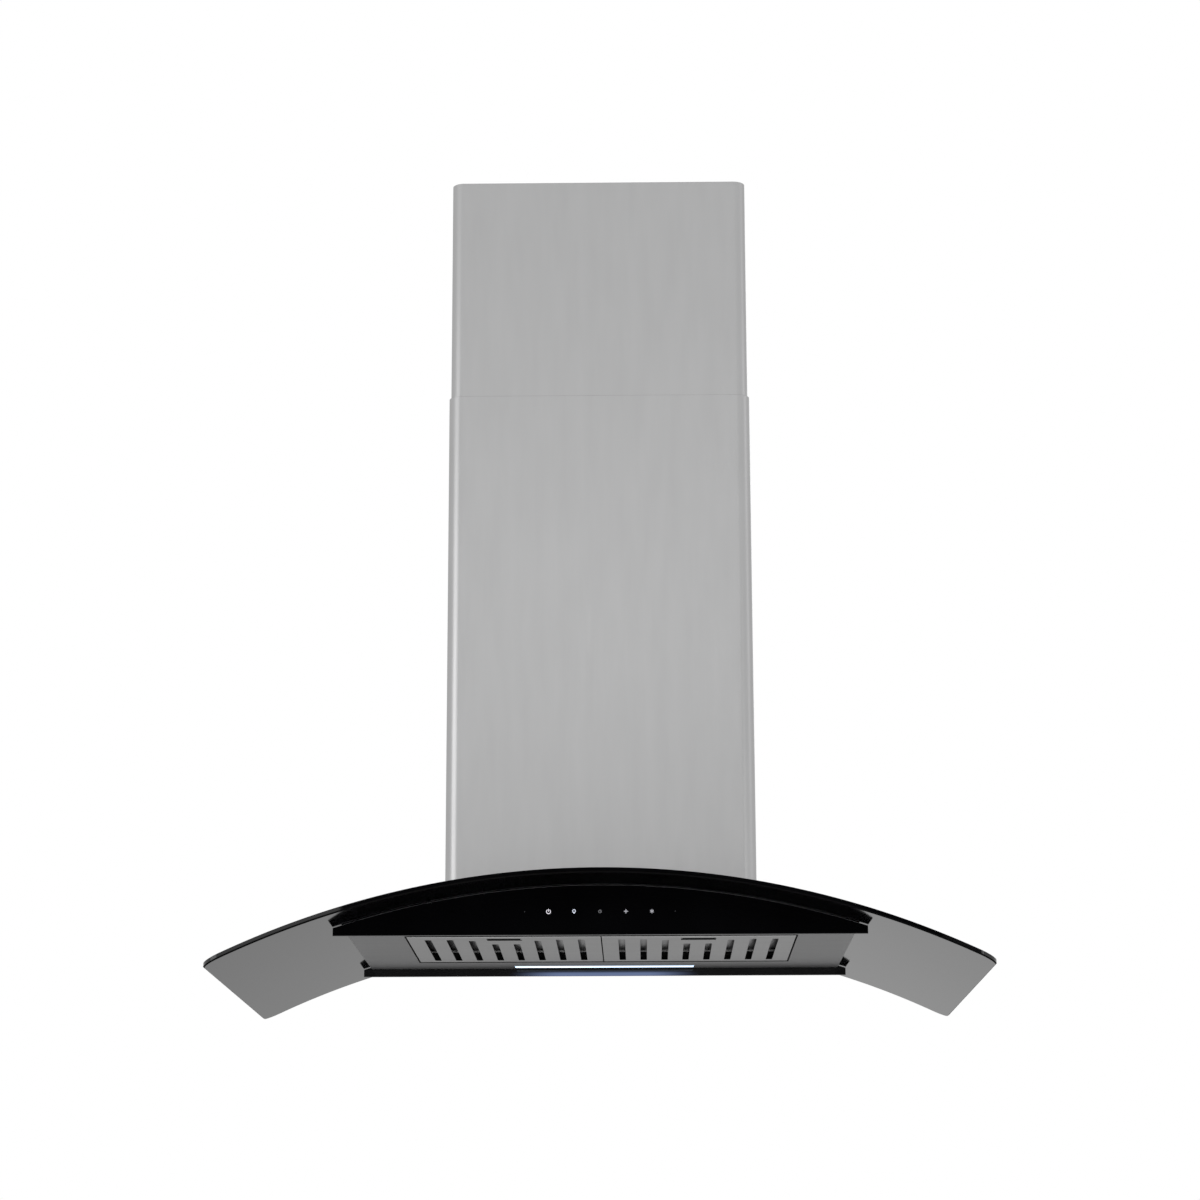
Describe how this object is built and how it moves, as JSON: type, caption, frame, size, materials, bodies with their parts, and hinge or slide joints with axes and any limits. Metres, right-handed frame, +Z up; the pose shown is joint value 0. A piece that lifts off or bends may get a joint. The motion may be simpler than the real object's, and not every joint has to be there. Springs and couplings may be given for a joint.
{
  "type": "island chimney range hood",
  "caption": "Island range hood: telescopic rectangular steel chimney over an arched black glass canopy, with touch signs, lamp strip and swing-down slotted filters.",
  "frame": {"origin": "centre of the ceiling mounting face, at the middle of the anchor pattern", "axes": "+X to the viewer's right seen from the touch signs, -Y to the side with the touch signs, +Z up"},
  "size_m": [0.9, 0.6, 0.9997],
  "materials": {
    "satin_steel": "satin stainless sheet, very fine brushing",
    "filter_steel": "satin stainless sheet",
    "galvanised": "galvanised sheet steel",
    "bright_steel": "bright zinc-plated steel",
    "dark_steel": "blackened steel",
    "black_glass": "polished, black through and through",
    "grey_silicone": "translucent grey silicone",
    "black_foam": "closed-cell foam tape",
    "black_plastic": "matt, slightly grained",
    "grey_plastic": "matt glass-filled plastic",
    "white_plastic": "matt",
    "lens_white": "frosted diffuser, lit",
    "sign_white": "lit printed signs",
    "board_green": "solder-masked circuit board",
    "motor_casting": "cast, matt",
    "aluminium_sheet": "plain sheet"
  },
  "bodies": {
    "ceiling_mount": {"ceiling_plate": "galvanised", "upper_rail_front_left": "galvanised", "upper_rail_front_right": "galvanised", "upper_rail_rear_left": "galvanised", "upper_rail_rear_right": "galvanised", "upper_rail_screws": "bright_steel", "upper_cover_front": "satin_steel", "upper_cover_rear": "satin_steel", "upper_cover_screws": "bright_steel"},
    "hood": {"lower_rail_front_left": "galvanised", "lower_rail_front_right": "galvanised", "lower_rail_rear_left": "galvanised", "lower_rail_rear_right": "galvanised", "height_bolts": "dark_steel", "height_nuts": "dark_steel", "motor_box": "galvanised", "motor_plate": "galvanised", "pan_screws": "bright_steel", "blower_scroll": "black_plastic", "blower_motor": "motor_casting", "motor_bracket": "galvanised", "capacitor": "white_plastic", "terminal_box": "white_plastic", "terminal_lid": "white_plastic", "cable_gland": "black_plastic", "outlet_collar": "black_plastic", "damper_pin": "bright_steel", "canopy_glass": "black_glass", "glass_gasket": "grey_silicone", "glass_clips": "galvanised", "body_shell": "satin_steel", "latch_ledge": "dark_steel", "front_panel": "black_glass", "rear_panel": "black_glass", "front_panel_pads": "black_foam", "rear_panel_pads": "black_foam", "touch_signs": "sign_white", "control_board": "board_green", "lamp_housing": "aluminium_sheet", "lamp_board": "white_plastic", "lamp_lens": "lens_white", "lamp_driver": "white_plastic"},
    "lower_cover": {"lower_cover_front": "satin_steel", "lower_cover_rear": "satin_steel", "lower_cover_screws": "bright_steel"},
    "blower_rotor": {"motor_shaft": "bright_steel", "impeller": "grey_plastic", "impeller_rings": "grey_plastic"},
    "damper_front": {"damper_flap_front": "aluminium_sheet"},
    "damper_rear": {"damper_flap_rear": "aluminium_sheet"},
    "filter_door_left": {"filter_left": "filter_steel", "baffle_left": "filter_steel"},
    "filter_door_right": {"filter_right": "filter_steel", "baffle_right": "filter_steel"},
    "filter_latch_left": {"latch_left": "dark_steel"},
    "filter_latch_right": {"latch_right": "dark_steel"}
  },
  "joints": [
    {"name": "height_adjust", "type": "slide", "parent": "ceiling_mount", "child": "hood", "axis": [0, 0, 1], "range_m": [-0.25, 0.25]},
    {"name": "lower_cover_lift", "type": "slide", "parent": "hood", "child": "lower_cover", "axis": [0, 0, 1], "range_m": [0, 0.25]},
    {"name": "impeller_spin", "type": "hinge", "parent": "hood", "child": "blower_rotor", "pos_m": [0, -0.027, -0.773], "axis": [1, 0, 0], "continuous": true},
    {"name": "damper_front_turn", "type": "hinge", "parent": "hood", "child": "damper_front", "pos_m": [0, 0.035, -0.57], "axis": [-1, 0, 0], "range_deg": [0, 78]},
    {"name": "damper_rear_turn", "type": "hinge", "parent": "hood", "child": "damper_rear", "pos_m": [0, 0.035, -0.57], "axis": [1, 0, 0], "range_deg": [0, 78]},
    {"name": "filter_left_swing", "type": "hinge", "parent": "hood", "child": "filter_door_left", "pos_m": [-0.1163, 0.131, -0.9436], "axis": [1, 0, 0], "range_deg": [0, 80]},
    {"name": "filter_right_swing", "type": "hinge", "parent": "hood", "child": "filter_door_right", "pos_m": [0.1163, 0.131, -0.9436], "axis": [1, 0, 0], "range_deg": [0, 80]},
    {"name": "latch_left_pull", "type": "slide", "parent": "filter_door_left", "child": "filter_latch_left", "axis": [0, 1, 0], "range_m": [0, 0.005], "stiffness_N_per_m": 600, "springref_m": -0.002},
    {"name": "latch_right_pull", "type": "slide", "parent": "filter_door_right", "child": "filter_latch_right", "axis": [0, 1, 0], "range_m": [0, 0.005], "stiffness_N_per_m": 600, "springref_m": -0.002}
  ]
}
